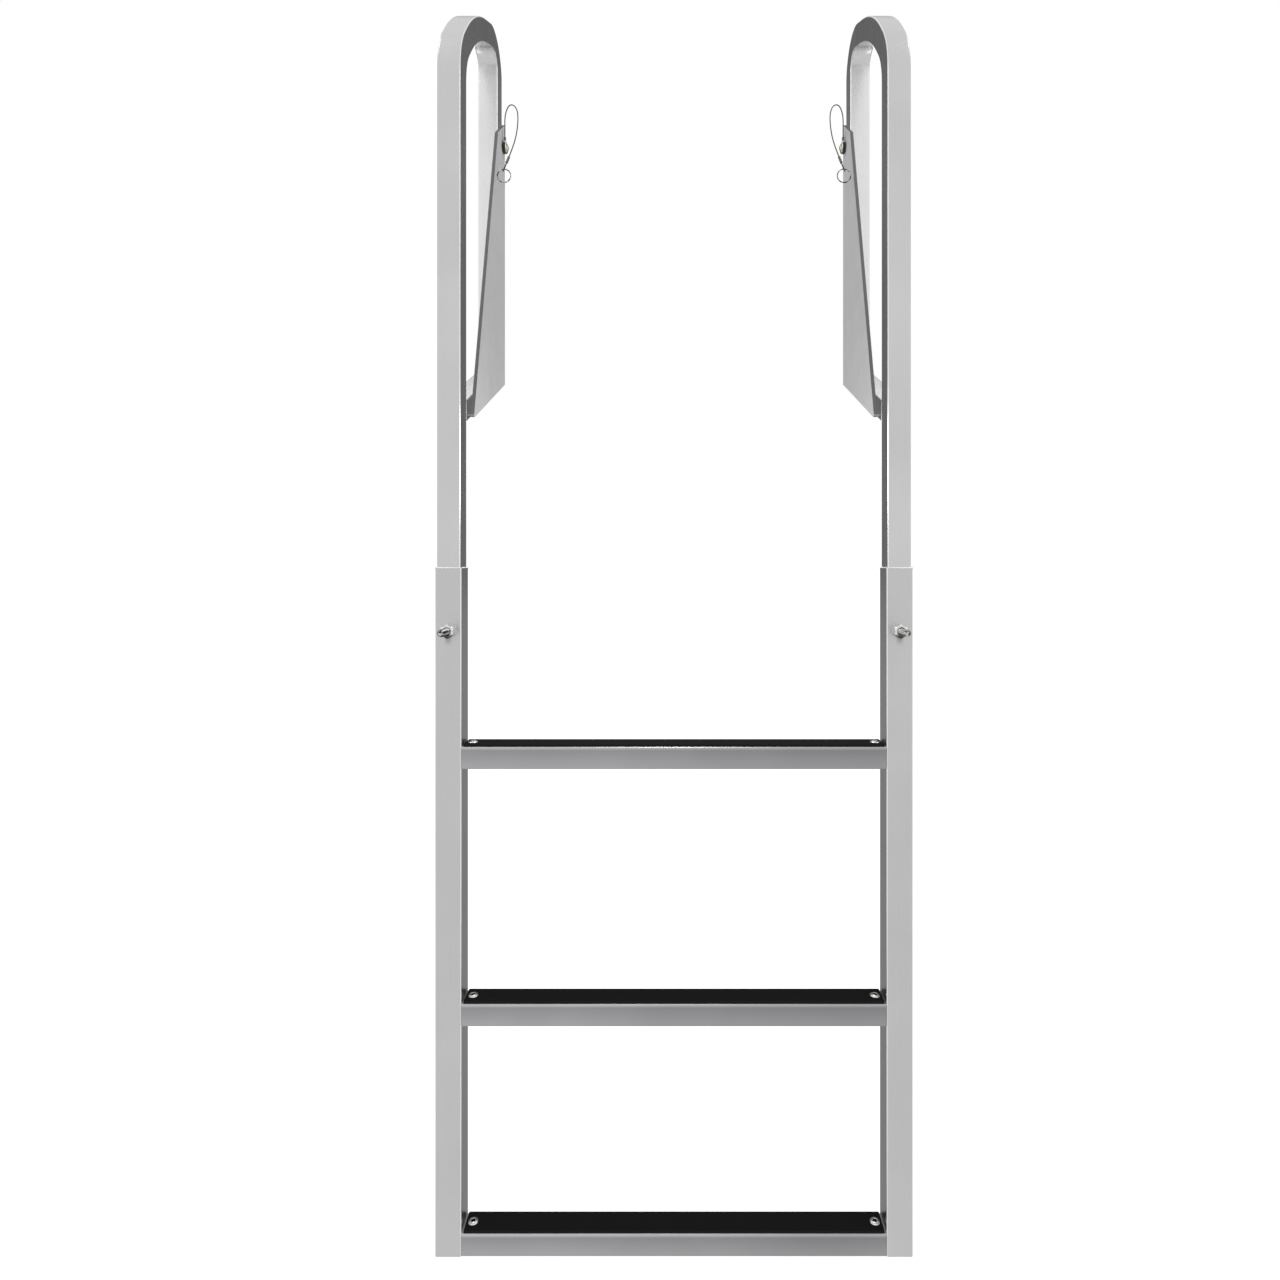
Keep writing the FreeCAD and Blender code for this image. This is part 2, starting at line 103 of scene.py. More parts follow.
def drawn_aluminium(name, light, dark, stretch, roughness):
    """Satin tube: draw lines along one axis over slow patches of tone, with a painted highlight on the inner
    front corners.
    """
    material, tree, shader = new_material(name)
    place = add_node(tree, "ShaderNodeTexCoord")
    lines = add_node(tree, "ShaderNodeMapping", {"Scale": stretch}, {"Vector": place.outputs["Object"]})
    draw = add_node(tree, "ShaderNodeTexNoise", {"Scale": 1.0, "Detail": 3.0, "Roughness": 0.6},
                    {"Vector": lines.outputs["Vector"]})
    cloud = add_node(tree, "ShaderNodeTexNoise", {"Scale": 1 / tone_patch, "Detail": 2.0},
                     {"Vector": place.outputs["Object"]})
    tone = add_node(tree, "ShaderNodeMath", {".operation": "MULTIPLY_ADD", 1: 0.35},
                    {0: draw.outputs["Fac"], 2: cloud.outputs["Fac"]})
    lightness = add_node(tree, "ShaderNodeMapRange", {"From Min": 0.45, "From Max": 0.90},
                         {"Value": tone.outputs["Value"]})
    tint = add_node(tree, "ShaderNodeMix", {".data_type": "RGBA", 6: linear(dark), 7: linear(light)},
                    {0: lightness.outputs["Result"]})
    rough = add_node(tree, "ShaderNodeMapRange",
                     {"From Min": 0.3, "From Max": 0.7,
                      "To Min": roughness - 0.04, "To Max": roughness + 0.05},
                     {"Value": draw.outputs["Fac"]})
    bump = add_node(tree, "ShaderNodeBump", {"Strength": 0.035, "Distance": 0.00004},
                    {"Height": draw.outputs["Fac"]})

    # Painted highlight: the rounded corner's colour is made white where it turns from the front to the
    # ladder's middle.
    facing = add_node(tree, "ShaderNodeSeparateXYZ", None, {"Vector": place.outputs["Normal"]})
    where = add_node(tree, "ShaderNodeSeparateXYZ", None, {"Vector": place.outputs["Object"]})
    sideways = add_node(tree, "ShaderNodeMath", {".operation": "ABSOLUTE"}, {0: facing.outputs["X"]})
    off_front = add_node(tree, "ShaderNodeMapRange", {"From Min": 0.20, "From Max": 0.45},
                         {"Value": sideways.outputs["Value"]})
    off_flank = add_node(tree, "ShaderNodeMapRange",
                         {"From Min": 0.90, "From Max": 0.98, "To Min": 1.0, "To Max": 0.0},
                         {"Value": sideways.outputs["Value"]})
    to_centre = add_node(tree, "ShaderNodeMath", {".operation": "SUBTRACT", 0: ladder_centre_x},
                         {1: where.outputs["X"]})
    inward = add_node(tree, "ShaderNodeMath", {".operation": "MULTIPLY"},
                      {0: to_centre.outputs["Value"], 1: facing.outputs["X"]})
    inner = add_node(tree, "ShaderNodeMapRange", {"From Max": 0.03}, {"Value": inward.outputs["Value"]})
    on_front_leg = add_node(tree, "ShaderNodeMapRange",
                            {"From Min": rear_leg_front - 0.030, "From Max": rear_leg_front - 0.010,
                             "To Min": 1.0, "To Max": 0.0},
                            {"Value": where.outputs["Y"]})
    corner_highlight = off_front.outputs["Result"]
    for limit in (off_flank, inner, on_front_leg):
        both = add_node(tree, "ShaderNodeMath", {".operation": "MULTIPLY"},
                        {0: corner_highlight, 1: limit.outputs["Result"]})
        corner_highlight = both.outputs["Value"]
    colour = add_node(tree, "ShaderNodeMix", {".data_type": "RGBA", 7: (1.0, 1.0, 1.0, 1.0)},
                      {0: corner_highlight, 6: tint.outputs[2]})
    tree.links.new(colour.outputs[2], shader.inputs["Base Color"])
    tree.links.new(rough.outputs["Result"], shader.inputs["Roughness"])
    tree.links.new(bump.outputs["Normal"], shader.inputs["Normal"])
    shader.inputs["Metallic"].default_value = 1.0
    return material


def scale_colour(material, share):
    """Scale a finish's colour by what a node gives."""
    tree = material.node_tree
    base_colour = tree.nodes["Principled BSDF"].inputs["Base Color"]
    scaled = add_node(tree, "ShaderNodeVectorMath", {".operation": "SCALE"},
                      {0: base_colour.links[0].from_socket, "Scale": share})
    tree.links.new(scaled.outputs["Vector"], base_colour)


def tone_by_place(material, outside, inside, *ramps):
    """Scale a finish's colour by outside, and by inside where every ramp (axis, start, end) is full."""
    tree = material.node_tree
    place = add_node(tree, "ShaderNodeTexCoord")
    where = add_node(tree, "ShaderNodeSeparateXYZ", None, {"Vector": place.outputs["Object"]})
    share = None
    for axis, start, end in ramps:
        ramp = add_node(tree, "ShaderNodeMapRange",
                        {".interpolation_type": "SMOOTHSTEP", "From Min": start, "From Max": end},
                        {"Value": where.outputs[axis]})
        if share is None:
            share = ramp.outputs["Result"]
        else:
            both = add_node(tree, "ShaderNodeMath", {".operation": "MULTIPLY"},
                            {0: share, 1: ramp.outputs["Result"]})
            share = both.outputs["Value"]
    tone = add_node(tree, "ShaderNodeMapRange", {"To Min": outside, "To Max": inside}, {"Value": share})
    scale_colour(material, tone.outputs["Result"])


# Drawn tube with a satin skin: an even pale grey that turns dark or bright with what it faces.
# Painted light: the rear legs' front faces are coloured lighter than the front ones, from the bend at their
# top downwards.
handrail_tube = drawn_aluminium("satin_drawn_aluminium_handrail", "#e4e4e5", "#dbdbdc", upright_stretch, 0.26)
tone_by_place(handrail_tube, 1.0, 1.36, ("Y", rear_leg_front - tube_corner, rear_leg_front - 0.0002),
              ("Z", rear_bend_top, rear_bend_foot))
dress(["left_handrail", "right_handrail", "left_loop_strut", "right_loop_strut"], handrail_tube)

# The same tube stock one size up, a shade greyer. Each nut's soft shade darkens the front below it.
nut_shade_reach = 0.0055
nut_shade_core = 0.0005
nut_shade_fall = 0.0105

for side in ("left", "right"):
    rail_tube = drawn_aluminium(side + "_lower_rail_satin_aluminium", "#dcdcdd", "#d3d3d4",
                                upright_stretch, 0.28)
    low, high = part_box(side + "_joint_nut")
    nut_x = (low.x + high.x) / 2
    tone_by_place(rail_tube, 1.0, 0.60,
                  ("X", nut_x - nut_shade_reach, nut_x - nut_shade_core),
                  ("X", nut_x + nut_shade_reach, nut_x + nut_shade_core),
                  ("Y", high.y + 0.003, high.y + 0.001),
                  ("Z", low.z - nut_shade_fall, low.z - nut_shade_core),
                  ("Z", low.z + 0.007, low.z + 0.002))
    dress([side + "_lower_rail"], rail_tube)


# Steps: square tubes cut to length and welded between the lower rails. The
# tube lies across, so its draw lines do too, and it is left a little duller.

across_stretch = (1 / draw_line_length, 1 / draw_line_width, 1 / draw_line_width)
step_heights = ("upper", "middle", "lower")

# Duller drawn tube: a mid grey front with painted shade, darker upwards and to the right, under a rounded
# upper corner with a painted highlight, as if lit from above.
for height in step_heights:
    low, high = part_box(height + "_step")
    step_tube = drawn_aluminium(height + "_step_satin_aluminium", "#b2b2b4", "#a8a8aa", across_stretch, 0.38)
    # Painted shade: darker upwards and to the right.
    tone_by_place(step_tube, 1.10, 0.84, ("Z", low.z, high.z))
    tone_by_place(step_tube, 1.10, 0.86, ("X", low.x, high.x))
    # Painted highlight along the rounded upper corner.
    tone_by_place(step_tube, 1.0, 1.65, ("Z", high.z - 0.0042, high.z - 0.0006))
    dress([height + "_step"], step_tube)


# Step mats: a flat black rubber strip on each step, cut from moulded sheet.
# Its fine leather-like grain scatters light, so it looks even and dark.

def moulded_rubber(name, colour, grain_size, wear_size):
    """Matt rubber: a fine raised grain over slow patches of wear."""
    material, tree, shader = new_material(name)
    place = add_node(tree, "ShaderNodeTexCoord")
    grain = add_node(tree, "ShaderNodeTexVoronoi", {"Scale": 1 / grain_size},
                     {"Vector": place.outputs["Object"]})
    wear = add_node(tree, "ShaderNodeTexNoise", {"Scale": 1 / wear_size, "Detail": 3.0},
                    {"Vector": place.outputs["Object"]})
    rough = add_node(tree, "ShaderNodeMapRange", {"To Min": 0.80, "To Max": 0.94},
                     {"Value": wear.outputs["Fac"]})
    bump = add_node(tree, "ShaderNodeBump", {"Strength": 0.35, "Distance": 0.00012},
                    {"Height": grain.outputs["Distance"]})
    tree.links.new(rough.outputs["Result"], shader.inputs["Roughness"])
    tree.links.new(bump.outputs["Normal"], shader.inputs["Normal"])
    shader.inputs["Base Color"].default_value = linear(colour)
    shader.inputs["Specular IOR Level"].default_value = 0.10
    return material


# Carbon-filled rubber: near black and matt, with a grain that only a close look shows.
black_rubber = moulded_rubber("black_moulded_rubber", "#1a1a1a", grain_size=0.0011, wear_size=0.025)
dress([height + "_step_mat" for height in step_heights], black_rubber)


# Mat screws: six truss-head stainless screws with a cross recess, driven
# through the mat into the step. Each was left turned its own way.

head_radius = 0.0056
head_height = 0.0018
head_rim_height = 0.0002
dome_rings = 26
dome_fullness = 1.2
recess_arm = 0.0031
recess_half_width = 0.00075
recess_middle = 0.0021
recess_depth = 0.0014
recess_side_slope = 0.00025
recess_end_slope = 0.0009
shank_radius = 0.0020
shank_length = 0.0090
sharp_edge = math.radians(32)


def turned(name, profile, segments=48, flats=None):
    """Mesh turned about Z through (radius, height) points, with flats ground on where given."""
    shape = bmesh.new()
    rings = []
    for radius, height in profile:
        ring = []
        for index in range(segments):
            angle = math.tau * index / segments
            reach = radius
            if flats is not None:
                from_flat = (angle + math.pi / 6) % (math.pi / 3) - math.pi / 6
                reach = min(radius, flats / 2 / math.cos(from_flat))
            ring.append(shape.verts.new((reach * math.cos(angle), reach * math.sin(angle), height)))
        rings.append(ring)
    for low_ring, high_ring in zip(rings, rings[1:]):
        for index in range(segments):
            after = (index + 1) % segments
            shape.faces.new((low_ring[index], low_ring[after], high_ring[after], high_ring[index]))
    bmesh.ops.contextual_create(shape, geom=rings[0])
    bmesh.ops.contextual_create(shape, geom=rings[-1])
    bmesh.ops.recalc_face_normals(shape, faces=shape.faces)
    mesh = bpy.data.meshes.new(name)
    shape.to_mesh(mesh)
    shape.free()
    mesh.shade_smooth()
    mesh.set_sharp_from_angle(angle=sharp_edge)
    return mesh


def polished_stainless(name, light, dark, roughness, spot_size, dark_until=0.0, light_from=1.0):
    """Smooth steel with small duller spots, which drum, die or press leave on it.

    Real spots are about 0.1 mm across. They are drawn 0.6 to 2.8 mm across, to show.
    """
    material, tree, shader = new_material(name)
    place = add_node(tree, "ShaderNodeTexCoord")
    spots = add_node(tree, "ShaderNodeTexNoise", {"Scale": 1 / spot_size, "Detail": 2.0},
                     {"Vector": place.outputs["Object"]})
    lightness = add_node(tree, "ShaderNodeMapRange", {"From Min": dark_until, "From Max": light_from},
                         {"Value": spots.outputs["Fac"]})
    tint = add_node(tree, "ShaderNodeMix", {".data_type": "RGBA", 6: linear(dark), 7: linear(light)},
                    {0: lightness.outputs["Result"]})
    rough = add_node(tree, "ShaderNodeMapRange", {"To Min": roughness - 0.05, "To Max": roughness + 0.07},
                     {"Value": spots.outputs["Fac"]})
    bump = add_node(tree, "ShaderNodeBump", {"Strength": 0.15, "Distance": 0.00005},
                    {"Height": spots.outputs["Fac"]})
    tree.links.new(tint.outputs[2], shader.inputs["Base Color"])
    tree.links.new(rough.outputs["Result"], shader.inputs["Roughness"])
    tree.links.new(bump.outputs["Normal"], shader.inputs["Normal"])
    shader.inputs["Metallic"].default_value = 1.0
    return material


def screw_head_mesh():
    """Domed head over its shank, with the cross recess pressed into the dome."""
    head_profile = [(shank_radius, -shank_length), (shank_radius, 0.0), (head_radius * 0.97, 0.0),
                    (head_radius, head_rim_height)]
    for ring in range(1, dome_rings):
        reach = head_radius * (1 - ring / dome_rings)
        rise = math.sqrt(max(0.0, 1 - (reach / head_radius) ** 2)) ** dome_fullness
        head_profile.append((reach, head_rim_height + (head_height - head_rim_height) * rise))
    mesh = turned("mat_screw", head_profile, segments=72)
    sunk = mesh.attributes.new("sunk", "FLOAT", "POINT")
    for vertex in mesh.vertices:
        if vertex.co.z < head_rim_height:
            continue
        reach = math.hypot(vertex.co.x, vertex.co.y)
        from_arm = min(min(abs(vertex.co.x), abs(vertex.co.y)) - recess_half_width, reach - recess_middle)
        side_fall = min(1.0, max(0.0, 0.5 - from_arm / recess_side_slope))
        end_fall = min(1.0, max(0.0, (recess_arm - reach) / recess_end_slope))
        vertex.co.z -= recess_depth * side_fall * end_fall
        sunk.data[vertex.index].value = side_fall * end_fall
    return mesh


def place_piece(name, mesh):
    """Put a mesh or a curve into the scene as an object at the origin."""
    piece = bpy.data.objects.new(name, mesh)
    bpy.context.collection.objects.link(piece)
    return piece


def new_tree(name, sizes):
    """Geometry Nodes tree with a geometry in and out and one named input for each size."""
    tree = bpy.data.node_groups.new(name, "GeometryNodeTree")
    tree.interface.new_socket("Geometry", in_out="INPUT", socket_type="NodeSocketGeometry")
    tree.interface.new_socket("Geometry", in_out="OUTPUT", socket_type="NodeSocketGeometry")
    for size_name, kind in sizes.items():
        tree.interface.new_socket(size_name, in_out="INPUT", socket_type="NodeSocket" + kind)
    return tree, tree.nodes.new("NodeGroupInput"), tree.nodes.new("NodeGroupOutput")


def end_tree(tree, geometry, entry, leave):
    """End a tree with real geometry in its finish."""
    real = add_node(tree, "GeometryNodeRealizeInstances", None, {"Geometry": geometry})
    finished = add_node(tree, "GeometryNodeSetMaterial", None,
                        {"Geometry": real.outputs["Geometry"], "Material": entry.outputs["Finish"]})
    tree.links.new(finished.outputs["Geometry"], leave.inputs["Geometry"])


def grow(name, base, tree, sizes):
    """Run a tree on a mesh or curve and keep the result as a plain mesh object."""
    holder = place_piece(name + "_base", base)
    modifier = holder.modifiers.new(name, "NODES")
    modifier.node_group = tree
    for socket in tree.interface.items_tree:
        if socket.in_out == "INPUT" and socket.name in sizes:
            modifier[socket.identifier] = sizes[socket.name]
    depsgraph = bpy.context.evaluated_depsgraph_get()
    mesh = bpy.data.meshes.new_from_object(holder.evaluated_get(depsgraph), depsgraph=depsgraph)
    bpy.data.objects.remove(holder)
    mesh.name = name
    return place_piece(name, mesh)


# Tumbled stainless steel: small bright domes, with a recess so shaded that its cross looks black.
screw_steel = polished_stainless("tumbled_stainless_screw", "#f4f4f2", "#d6d6d3", 0.13, 0.0009)
recess = add_node(screw_steel.node_tree, "ShaderNodeAttribute", {".attribute_name": "sunk"})
recess_tone = add_node(screw_steel.node_tree, "ShaderNodeMapRange",
                       {"From Max": 0.5, "To Min": 1.0, "To Max": 0.02}, {"Value": recess.outputs["Fac"]})
scale_colour(screw_steel, recess_tone.outputs["Result"])

screws_tree, entry, leave = new_tree("mat_screws", {"Screw": "Object", "Seed": "Int", "Finish": "Material"})
screw_model = add_node(screws_tree, "GeometryNodeObjectInfo", None, {"Object": entry.outputs["Screw"]})
quarter_turn = add_node(screws_tree, "FunctionNodeRandomValue",
                        {".data_type": "FLOAT", 2: 0.0, 3: math.pi / 2}, {"Seed": entry.outputs["Seed"]})
turn_about_z = add_node(screws_tree, "ShaderNodeCombineXYZ", None, {"Z": quarter_turn.outputs[1]})
set_out = add_node(screws_tree, "GeometryNodeInstanceOnPoints", None,
                   {"Points": entry.outputs["Geometry"], "Instance": screw_model.outputs["Geometry"],
                    "Rotation": turn_about_z.outputs["Vector"]})
end_tree(screws_tree, set_out.outputs["Instances"], entry, leave)

screw_nodes = [height + "_step_" + side + "_screw" for height in step_heights for side in ("left", "right")]
screw_places = []
for node_name in screw_nodes:
    low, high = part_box(node_name)
    screw_places.append(((low.x + high.x) / 2, (low.y + high.y) / 2, high.z - head_height))
places_mesh = bpy.data.meshes.new("mat_screw_places")
places_mesh.from_pydata(screw_places, [], [])
screw_object = place_piece("mat_screw_model", screw_head_mesh())
mat_screws = grow("mat_screws", places_mesh, screws_tree,
                  {"Screw": screw_object, "Seed": 4, "Finish": screw_steel})
bpy.data.objects.remove(screw_object)
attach(mat_screws, "ladder")
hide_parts(*screw_nodes)


# Joint bolts and nuts: a hexagon bolt pins each lower rail to the handrail
# inside it. Its rolled thread stands out in front through a lock nut, whose
# chamfered face closes round the thread.

thread_pitch = 0.00125
thread_depth = 0.0007
thread_ridge = 0.00042
thread_chamfer = 0.0008
bolt_radius = 0.0040
shank_play = 0.0001
plain_shank_share = 0.55
bolt_head_flats = 0.0130
bolt_head_height = 0.0055
nut_flats = 0.0140
nut_height = 0.0068
nut_hexagon_height = 0.0050

# Bright turned steel: a white glint over a nut whose lower side is in its own shade.
bright_nut = polished_stainless("bright_turned_stainless_nut", "#fafaf8", "#e6e6e3", 0.09, 0.0012)
low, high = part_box("left_joint_nut")
nut_z = (low.z + high.z) / 2
tone_by_place(bright_nut, 1.0, 0.08, ("Z", nut_z - 0.0015, nut_z - 0.0055))

# Rolled thread: light and dark streaks along the stud, where its flanks mirror the studio. The
# real ones are as fine as the 1.25 mm pitch. They are drawn about 2.6 mm wide, to show.
thread_streak_width = 1 / 380
thread_streak_length = 1 / 12
rolled_thread, tree, shader = new_material("rolled_stainless_thread")
place = add_node(tree, "ShaderNodeTexCoord")
streaks = add_node(tree, "ShaderNodeMapping",
                   {"Scale": (1 / thread_streak_width, 1 / thread_streak_length, 1 / thread_streak_width)},
                   {"Vector": place.outputs["Object"]})
glint = add_node(tree, "ShaderNodeTexNoise", {"Scale": 1.0, "Detail": 1.0},
                 {"Vector": streaks.outputs["Vector"]})
lightness = add_node(tree, "ShaderNodeMapRange", {"From Min": 0.38, "From Max": 0.56},
                     {"Value": glint.outputs["Fac"]})
tint = add_node(tree, "ShaderNodeMix", {".data_type": "RGBA", 6: linear("#30302f"), 7: linear("#d4d4d2")},
                {0: lightness.outputs["Result"]})
tree.links.new(tint.outputs[2], shader.inputs["Base Color"])
shader.inputs["Metallic"].default_value = 1.0
shader.inputs["Roughness"].default_value = 0.18

thread_tree, entry, leave = new_tree("rolled_thread", {"Turns": "Float", "Radius": "Float", "Length": "Float",
                                                       "Ridge": "Float", "Ridge Flatness": "Float",
                                                       "Finish": "Material"})
helix = add_node(thread_tree, "GeometryNodeCurveSpiral", {"Resolution": 40},
                 {"Rotations": entry.outputs["Turns"], "Start Radius": entry.outputs["Radius"],
                  "End Radius": entry.outputs["Radius"], "Height": entry.outputs["Length"]})
upright = add_node(thread_tree, "GeometryNodeSetCurveNormal", {".mode": "Z_UP"},
                   {"Curve": helix.outputs["Curve"]})
ridge = add_node(thread_tree, "GeometryNodeCurvePrimitiveCircle", {"Resolution": 8},
                 {"Radius": entry.outputs["Ridge"]})
flatter = add_node(thread_tree, "ShaderNodeCombineXYZ", {"X": 1.0, "Z": 1.0},
                   {"Y": entry.outputs["Ridge Flatness"]})
pressed = add_node(thread_tree, "GeometryNodeTransform", None,
                   {"Geometry": ridge.outputs["Curve"], "Scale": flatter.outputs["Vector"]})
wound = add_node(thread_tree, "GeometryNodeCurveToMesh", {"Fill Caps": True},
                 {"Curve": upright.outputs["Curve"], "Profile Curve": pressed.outputs["Geometry"]})
with_stud = add_node(thread_tree, "GeometryNodeJoinGeometry", None, {"Geometry": wound.outputs["Mesh"]})
thread_tree.links.new(entry.outputs["Geometry"], with_stud.inputs["Geometry"])
end_tree(thread_tree, with_stud.outputs["Geometry"], entry, leave)


def join_meshes(base, *others):
    """Add the faces of other meshes to a mesh."""
    joined = bmesh.new()
    for mesh in (base, *others):
        joined.from_mesh(mesh)
    joined.to_mesh(base)
    joined.free()


turn_to_front = Matrix.Rotation(math.radians(90), 4, "X")

for side in ("left", "right"):
    low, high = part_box(side + "_joint_bolt")
    nut_low, nut_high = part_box(side + "_joint_nut")
    centre_x = (low.x + high.x) / 2
    centre_z = (nut_low.z + nut_high.z) / 2
    under_head = high.y - bolt_head_height
    shank = under_head - low.y
    core = bolt_radius - thread_depth
    head_profile = [(bolt_head_flats * 0.47, -bolt_head_height),
                    (bolt_head_flats * 0.62, -bolt_head_height + 0.001),
                    (bolt_head_flats * 0.62, -0.0003), (bolt_head_flats * 0.56, 0.0)]
    stud_profile = [(bolt_radius - shank_play, 0.0), (bolt_radius - shank_play, shank * plain_shank_share),
                    (core, shank * (plain_shank_share + 0.01)), (core, shank - thread_chamfer),
                    (core - thread_chamfer * 0.7, shank)]
    bolt_mesh = turned(side + "_joint_bolt", head_profile, segments=72, flats=bolt_head_flats)
    join_meshes(bolt_mesh, turned(side + "_joint_stud", stud_profile))
    thread_start = shank * (plain_shank_share + 0.02)
    thread_length = shank - thread_chamfer - thread_start
    bolt_mesh.transform(Matrix.Translation((0, 0, -thread_start)))
    bolt = grow(side + "_threaded_bolt", bolt_mesh, thread_tree,
                {"Turns": thread_length / thread_pitch, "Radius": bolt_radius - thread_ridge,
                 "Length": thread_length, "Ridge": thread_ridge, "Ridge Flatness": 1.15,
                 "Finish": rolled_thread})
    bolt.data.transform(Matrix.Translation((0, 0, thread_start)))
    bolt.data.transform(Matrix.Translation((centre_x, under_head, centre_z)) @ turn_to_front)
    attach(bolt, "ladder")
    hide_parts(side + "_joint_bolt")

    past_corner = nut_flats / math.sqrt(3) * 1.01
    nut_profile = [(bolt_radius, 0.0), (nut_flats * 0.49, 0.0), (past_corner, 0.0006),
                   (past_corner, nut_hexagon_height), (0.0066, nut_height - 0.0008),
                   (0.0057, nut_height - 0.0003), (0.0048, nut_height), (0.0046, nut_height - 0.0002),
                   (0.0045, nut_height - 0.0012), (bolt_radius, nut_height - 0.0014)]
    nut_mesh = turned(side + "_lock_nut", nut_profile, segments=72, flats=nut_flats)
    nut_mesh.transform(Matrix.Translation((centre_x, nut_high.y, centre_z)) @ turn_to_front)
    nut_mesh.materials.append(bright_nut)
    nut = place_piece(side + "_lock_nut", nut_mesh)
    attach(nut, "ladder")
    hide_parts(side + "_joint_nut")


# Dock brackets: folded from 4 mm aluminium plate and sheared to a taper.
# Rolled plate has a duller, more even skin than the tubes, and its sheared
# edges are rough and darker.

def rolled_plate(name, skin, skin_dark, edge, roughness, mottle_size, grain_size):
    """Dull plate: a faintly mottled skin, and the tone of a sheared edge where it faces up or down."""
    material, tree, shader = new_material(name)
    place = add_node(tree, "ShaderNodeTexCoord")
    mottle = add_node(tree, "ShaderNodeTexNoise", {"Scale": 1 / mottle_size, "Detail": 4.0},
                      {"Vector": place.outputs["Object"]})
    lightness = add_node(tree, "ShaderNodeMapRange", {"From Min": 0.3, "From Max": 0.7},
                         {"Value": mottle.outputs["Fac"]})
    tint = add_node(tree, "ShaderNodeMix", {".data_type": "RGBA", 6: linear(skin_dark), 7: linear(skin)},
                    {0: lightness.outputs["Result"]})
    facing = add_node(tree, "ShaderNodeSeparateXYZ", None, {"Vector": place.outputs["Normal"]})
    upward = add_node(tree, "ShaderNodeMath", {".operation": "ABSOLUTE"}, {0: facing.outputs["Z"]})
    sheared = add_node(tree, "ShaderNodeMapRange", {"From Min": 0.12, "From Max": 0.22},
                       {"Value": upward.outputs["Value"]})
    colour = add_node(tree, "ShaderNodeMix", {".data_type": "RGBA", 7: linear(edge)},
                      {0: sheared.outputs["Result"], 6: tint.outputs[2]})
    grain = add_node(tree, "ShaderNodeTexNoise", {"Scale": 1 / grain_size, "Detail": 2.0},
                     {"Vector": place.outputs["Object"]})
    bump = add_node(tree, "ShaderNodeBump", {"Strength": 0.12, "Distance": 0.00008},
                    {"Height": grain.outputs["Fac"]})
    tree.links.new(colour.outputs[2], shader.inputs["Base Color"])
    tree.links.new(bump.outputs["Normal"], shader.inputs["Normal"])
    shader.inputs["Metallic"].default_value = 0.35
    shader.inputs["Roughness"].default_value = roughness
    return material


# Rolled plate, oxidised dull: a flat mid grey with hardly a reflection, and dark sheared edges.
# Its mottle is about 29 mm across. Its real grain is under 0.1 mm and is drawn 0.7 mm across.
plate_mottle = 1 / 35
plate_grain = 1 / 1400
bracket_plate = rolled_plate("rolled_aluminium_plate", "#cacacb", "#c4c4c5", "#737374", 0.62,
                             plate_mottle, plate_grain)
dress(["left_dock_bracket", "right_dock_bracket"], bracket_plate)


# Lock pins: turned and plated steel pins with a grooved pull head and a push
# button, which frees two balls near the tip. A lug on the head holds the wire.

pin_radius = 0.0040
pin_head_radius = 0.0075
pin_head_thickness = 0.0050
rim_top = 0.0045
button_radius = 0.0030
button_height = 0.0024
ball_radius = 0.0012
ball_centre_radius = 0.0038
ball_from_tip = 0.0036
lug_sink = 0.0018

# Insets and heights from the tip: its chamfer, then the groove behind the balls.
tip_shape = [(0.0010, 0.0), (0.0003, 0.0008), (0.0, 0.0012), (0.0, 0.0060), (0.0005, 0.0064),
             (0.0005, 0.0070), (0.0, 0.0074)]
# Shares of the head's radius and heights from its seat: two rims with a groove, then the dome.
head_shape = [(0.90, 0.0), (0.98, 0.0004), (1.0, 0.0009), (1.0, 0.0017), (0.90, 0.0021), (0.90, 0.0028),
              (1.0, 0.0031), (0.98, 0.0037), (0.93, 0.0044), (0.84, 0.0051), (0.72, 0.0057), (0.58, 0.0061)]
# Shares of the button's radius and heights from the head's face: the well round it, then its cap.
button_shape = [(1.30, 0.0012), (1.20, -0.0002), (1.0, -0.0004), (1.0, button_height - 0.0008),
                (0.88, button_height - 0.0002), (0.60, button_height)]
lug_shape = [(0.0019, 0.0), (0.0021, 0.0006), (0.0021, 0.0030), (0.0017, 0.0034)]

# Nickel plate: a warm, slightly yellow white on the dome and the pin.
pin_nickel = polished_stainless("warm_nickel_plated_pin", "#fbf6e9", "#ddd6c6", 0.16, 0.0014)
# Blackened steel: a brown-black rim that sets the head off from the plate.
blackened_rim = polished_stainless("blackened_steel_pull_rim", "#6c6760", "#34322f", 0.22, 0.0012)

inward_signs = (("left", 1), ("right", -1))

